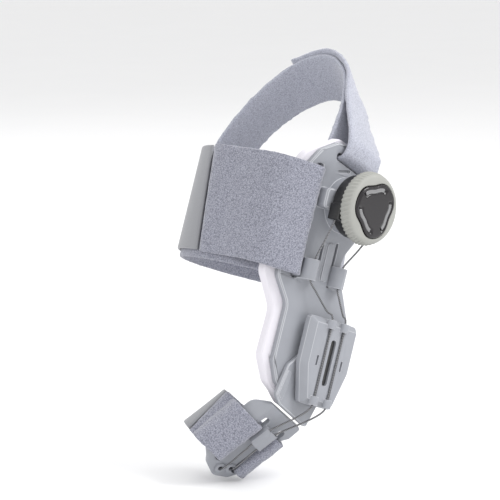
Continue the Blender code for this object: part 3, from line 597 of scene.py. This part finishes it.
# %% [markdown]
# ## Instep and toe straps
# Each strap comes up through its slot, folds back over the splint's edge and lies
# on itself, and its smooth hook tab grips the pile further round. The table of
# points is the same as the CAD's, so the cloth stays in the space its solid holds.

# %% Instep strap and its hook tab
FABRIC, TAB_THICK, GAP = 2.0, 1.5, 0.3
FOOT = (-4.7, 36.0, 36.7, 34.7)
TOE = (9.0, 16.5, 12.0, 12.5)
INSTEP_MID, INSTEP_W, SLOT_X = 63.25, 50.5, -24.7
PANEL_SHIFT = 1.4


def upright(path, mid, slant=0.0):
    """Rows of x, y, z and the width direction for a strap that lies across z."""
    z = mid - slant * np.clip(path[:, 1:2], 0, None)
    return np.hstack([path[:, :2], z, np.tile((0.0, 0.0, 1.0), (len(path), 1))])


def instep_strap():
    """Inner round, slot, fold and outer panel; the panel rides a little higher."""
    x0 = SLOT_X
    first = [(-9.0, 1.5), (-1.0, 1.5), (7.0, 2.3)]
    inner = oval(FOOT, FABRIC / 2, -52, 203)
    rise = [(-34.5, 14.8), (-30.0, 8.6), (x0 - 1.6, 5.2), (x0, 1.6), (x0, -6.2)]
    fold = [(x0 - 0.9, -8.6), (x0 - 3.4, -8.6), (-32.5, -5.6), (-36.6, -2.2), (-39.8, 2.2),
            (-41.9, 9.0), (-43.0, 17.0)]
    panel = oval(FOOT, 1.5 * FABRIC + GAP, 193, 168)
    path = smooth_path(np.vstack([first, inner, rise, fold, panel]), 1.6)
    share = np.linspace(0, 1, len(path))
    rows = upright(path, INSTEP_MID)
    rows[:, 2] += PANEL_SHIFT * np.where(share > 0.8, 1.0, -1.0) * np.clip(
        np.abs(share - 0.8) / 0.08, 0, 1)
    piece = strap("instep_cloth", rows, INSTEP_W, FABRIC, on_splint, "brace", FUZZ, seed=3,
                  end_cut=(7.5, 0.0))
    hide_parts("instep_strap")
    return piece


def instep_tab():
    """Smooth tab on the outer side of the inner round."""
    path = smooth_path(oval(FOOT, FABRIC + GAP + TAB_THICK / 2 + 0.1, 176, 58), 1.6)
    rows = upright(path, INSTEP_MID + PANEL_SHIFT)
    piece = strap("instep_tab_cloth", rows, INSTEP_W - 1.0, TAB_THICK, on_splint, "brace", TAB,
                  ruffle=0.0, start_cut=(0.0, 7.5))
    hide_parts("instep_hook_tab")
    return piece


print(instep_strap().name, instep_tab().name)

# %% Toe strap and its hook tab
TOE_MID, TOE_W, TOE_SLANT = -24.9, 24.8, 0.23


def toe_strap():
    """Loop round the plantar bar, round the toe, through the dorsal slot and back."""
    slot, edge, x0 = 15.2, 21.0 - 1.6, 3.1
    start = [(9.5, 4.2), (slot - 2.6, 4.4), (slot - 0.3, 3.4), (slot + 0.3, 1.4),
             (slot + 0.2, -0.3), (slot + 1.4, -1.8), (edge + 0.2, -1.6), (edge + 1.5, 0.6),
             (edge + 1.7, 4.0)]
    rise = [(-3.0, 10.6), (-0.5, 7.4), (x0 - 0.9, 5.2), (x0, 2.8), (x0, 0.4)]
    fold = [(x0 - 0.7, -1.6), (x0 - 3.2, -1.9), (-3.4, -0.3), (-6.4, 2.4), (-8.3, 5.6), (-8.2, 9.5)]
    path = smooth_path(np.vstack([start, oval(TOE, FABRIC / 2, -25, 200), rise, fold,
                                  oval(TOE, 1.5 * FABRIC + GAP, 190, 172)]), 1.0)
    piece = strap("toe_cloth", upright(path, TOE_MID, TOE_SLANT), TOE_W, FABRIC, on_toe,
                  "toe_splint", FUZZ, seed=5)
    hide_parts("toe_strap")
    return piece


def toe_tab():
    """Smooth tab that grips the toe strap's inner round."""
    path = smooth_path(oval(TOE, FABRIC + GAP + TAB_THICK / 2 + 0.1, 168, 30), 1.0)
    piece = strap("toe_tab_cloth", upright(path, TOE_MID, TOE_SLANT), TOE_W - 0.6, TAB_THICK,
                  on_toe, "toe_splint", TAB, ruffle=0.0)
    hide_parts("toe_hook_tab")
    return piece


print(toe_strap().name, toe_tab().name)

# %% [markdown]
# ## Heel strap
# It climbs from the instep strap, turns behind the heel, comes down to the top
# slot and folds back over itself. Its width direction turns with it, so the table
# has one more column: how far the width has turned towards the toes.

# %% Heel strap
HEEL_W, HEEL_TILT = 24.0, 12.0
HEEL_SLOT = (-4.3, 92.9)
HEEL_ROWS = [
    # x, y, z, turn
    (-5.5, 78.4, 62.0, 0.0), (-4.0, 77.5, 80.0, 4.0), (-1.0, 73.5, 98.0, 10.0),
    (4.0, 64.0, 117.0, 24.0), (9.0, 50.0, 132.0, 42.0), (10.5, 34.0, 137.5, 50.0),
    (8.0, 18.0, 131.0, 44.0), (3.5, 7.5, 118.0, 30.0), (-1.5, 2.9, 106.0, 17.0),
    (-4.0, 2.1, 98.0, 12.0),
]


def heel_strap():
    """Table of the round, the pass through the slot, and the layer that folds back."""
    x0, z0 = HEEL_SLOT
    through = [(x0, 2.2, z0 + 1.5, HEEL_TILT), (x0, 0.2, z0 - 0.6, HEEL_TILT),
               (x0, PLATE_OUT + 1.0, z0, HEEL_TILT)]
    over = [(x0 + 0.3, PLATE_OUT - 1.9, z0 + 1.6, HEEL_TILT),
            (x0 + 1.2, PLATE_OUT - 2.2, z0 + 5.5, HEEL_TILT),
            (x0 + 2.4, PLATE_OUT - 0.6, z0 + 11.0, HEEL_TILT + 3)]
    inner = np.array(HEEL_ROWS)
    back = inner[4:8][::-1].copy()
    back[:, :3] += unit(back[:, :3] - np.array((7.0, 34.0, 96.0))) * (FABRIC + 1.0)
    rows = smooth_path(np.vstack([inner, through, over, back]), 1.6)
    turns = np.radians(rows[:, 3:4])
    across = np.hstack([np.cos(turns), 0 * turns, -np.sin(turns)])
    # The heel strap takes the paler pile copy, which is painted light.
    piece = strap("heel_cloth", np.hstack([rows[:, :3], across]), HEEL_W, FABRIC, on_splint,
                  "brace", LIT_PILE, seed=7)
    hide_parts("heel_strap")
    return piece


print(heel_strap().name)

# %% [markdown]
# ## The two steel cables
# Each cable leaves the dial's base, passes a guide on the splint, runs under the
# cover's tubes and tracks, spans the toe hinge and ends in an anchor on the toe
# plate. The span crosses two joints, so it is made in two lengths that meet on the
# arm.

# %% Cable runs
CABLE_R = 0.42
GUIDE_X, GUIDE_LOW, GUIDE_HIGH, BORE_Y = (-19.1, 0.0), 37.2, 46.8, -11.0
TRACK_X, TOE_TRACK, TOE_ANCHOR = 4.5, (6.9, 11.1), ((8.2, 40.3), (12.4, 37.2))
SIDES = ((0, "left", -1), (1, "right", 1))


def hermite(p0, d0, p1, d1, count=24):
    """Cubic between two points that leaves and arrives along two given directions."""
    t = np.linspace(0, 1, count)[:, None]
    return ((2 * t ** 3 - 3 * t ** 2 + 1) * p0 + (t ** 3 - 2 * t ** 2 + t) * d0
            + (3 * t ** 2 - 2 * t ** 3) * p1 + (t ** 3 - t ** 2) * d1)


def upper_cable(k, side, sign):
    start = (DIAL[0] + sign * 13.3, -17.65, 66.6)
    gx, enter = GUIDE_X[k], (sign * TRACK_X, COVER_OUT, 22.3)
    mid = [gx + t * (enter[0] - gx) for t in (0.3, 0.75)]
    points = [start, (0.5 * (start[0] + gx), 0.5 * (start[1] + BORE_Y), 56.2),
              (gx, BORE_Y, GUIDE_HIGH - 0.5), (gx, BORE_Y, GUIDE_LOW + 0.5),
              (mid[0], BORE_Y - 1.5, 32.6), (mid[1], COVER_OUT + 1.6, 25.8), enter,
              (enter[0], COVER_OUT, 2.0), (enter[0], COVER_OUT, -17.1)]
    piece = tube("cable_%s_run" % side, smooth_path(points, 1.0), CABLE_R, on_splint, "brace", STEEL)
    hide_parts("cable_%s_upper" % side)


def span_cable(k, side, sign):
    """Hermite span over the hinge, cut at its middle into two lengths."""
    start = np.array((sign * TRACK_X, COVER_OUT, -16.9))
    end = on_toe([(TOE_TRACK[k], -2.6, -11.2)])[0] / MM @ turned("Y", LEAN)
    path = hermite(start, np.array((0.0, 0.0, -14.0)), end, ALONG * 12.0, 41)
    for part, (low, high, a, b) in enumerate(((0, 21, "brace", "toe_arm"),
                                              (20, 41, "toe_arm", "toe_splint"))):
        piece = tube("cable_%s_span_%d" % (side, part), path[low:high], CABLE_R, on_splint, None,
                     STEEL)
        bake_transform(piece)
        if part == 0:
            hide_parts("cable_%s_span" % side)


def toe_cable(k, side, sign):
    w, (end_w, end_t) = TOE_TRACK[k], TOE_ANCHOR[k]
    points = [(w, -2.6, -11.0), (w, -2.6, -21.5),
              (0.35 * w + 0.65 * end_w, -2.4, -7.35 - 0.65 * end_t),
              (end_w, -1.9, -end_t + 1.0), (end_w, 0.6, -end_t)]
    piece = tube("cable_%s_end" % side, smooth_path(points, 1.0), CABLE_R, on_toe, "toe_splint",
                 STEEL)
    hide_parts("cable_%s_toe" % side)


for values in SIDES:
    upper_cable(*values)
    span_cable(*values)
    toe_cable(*values)
print("cables made")

# %% [markdown]
# ## Floor and light
# A pale floor lies just under the toe, and large soft lamps stand round the part,
# as in a product studio. They are wide, so shadows have no hard edge.

# %% Floor, lamps and world


def add_floor():
    """Flat square just under the lowest point."""
    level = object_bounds()[0].z - 0.0008
    half = 4.0
    corners = [(-half, -half, level), (half, -half, level), (half, half, level), (-half, half, level)]
    mesh = bpy.data.meshes.new("floor")
    mesh.from_pydata(corners, [], [(0, 1, 2, 3)])
    floor = bpy.data.objects.new("floor", mesh)
    bpy.context.scene.collection.objects.link(floor)
    mat = moulded("pale_floor", (0.87, 0.87, 0.875), 0.6, 0.0, 300.0, vary=0.01)
    mesh.materials.append(mat)
    return floor


LAMPS = [
    # name, place, size, power
    ("key", (0.55, -0.75, 0.95), 0.6, 11.0),
    ("fill", (-1.05, -0.25, 0.55), 0.9, 2.5),
    ("back", (0.35, 0.95, 0.9), 0.9, 4.0),
]


def add_lamp(name, place, size, power):
    """Square area lamp aimed at the middle of the part."""
    data = bpy.data.lights.new(name, "AREA")
    data.size = size
    data.energy = power
    lamp = bpy.data.objects.new(name, data)
    bpy.context.scene.collection.objects.link(lamp)
    lamp.location = place
    aim = Vector((0.0, 0.02, 0.05)) - lamp.location
    lamp.rotation_euler = aim.to_track_quat("-Z", "Y").to_euler()
    return lamp


add_floor()
for values in LAMPS:
    add_lamp(*values)
world = bpy.data.worlds.new("studio")
world.use_nodes = True
world.node_tree.nodes["Background"].inputs["Color"].default_value = (1.0, 1.0, 1.0, 1.0)
world.node_tree.nodes["Background"].inputs["Strength"].default_value = 0.94
bpy.context.scene.world = world
bpy.context.scene.view_settings.view_transform = "Standard"
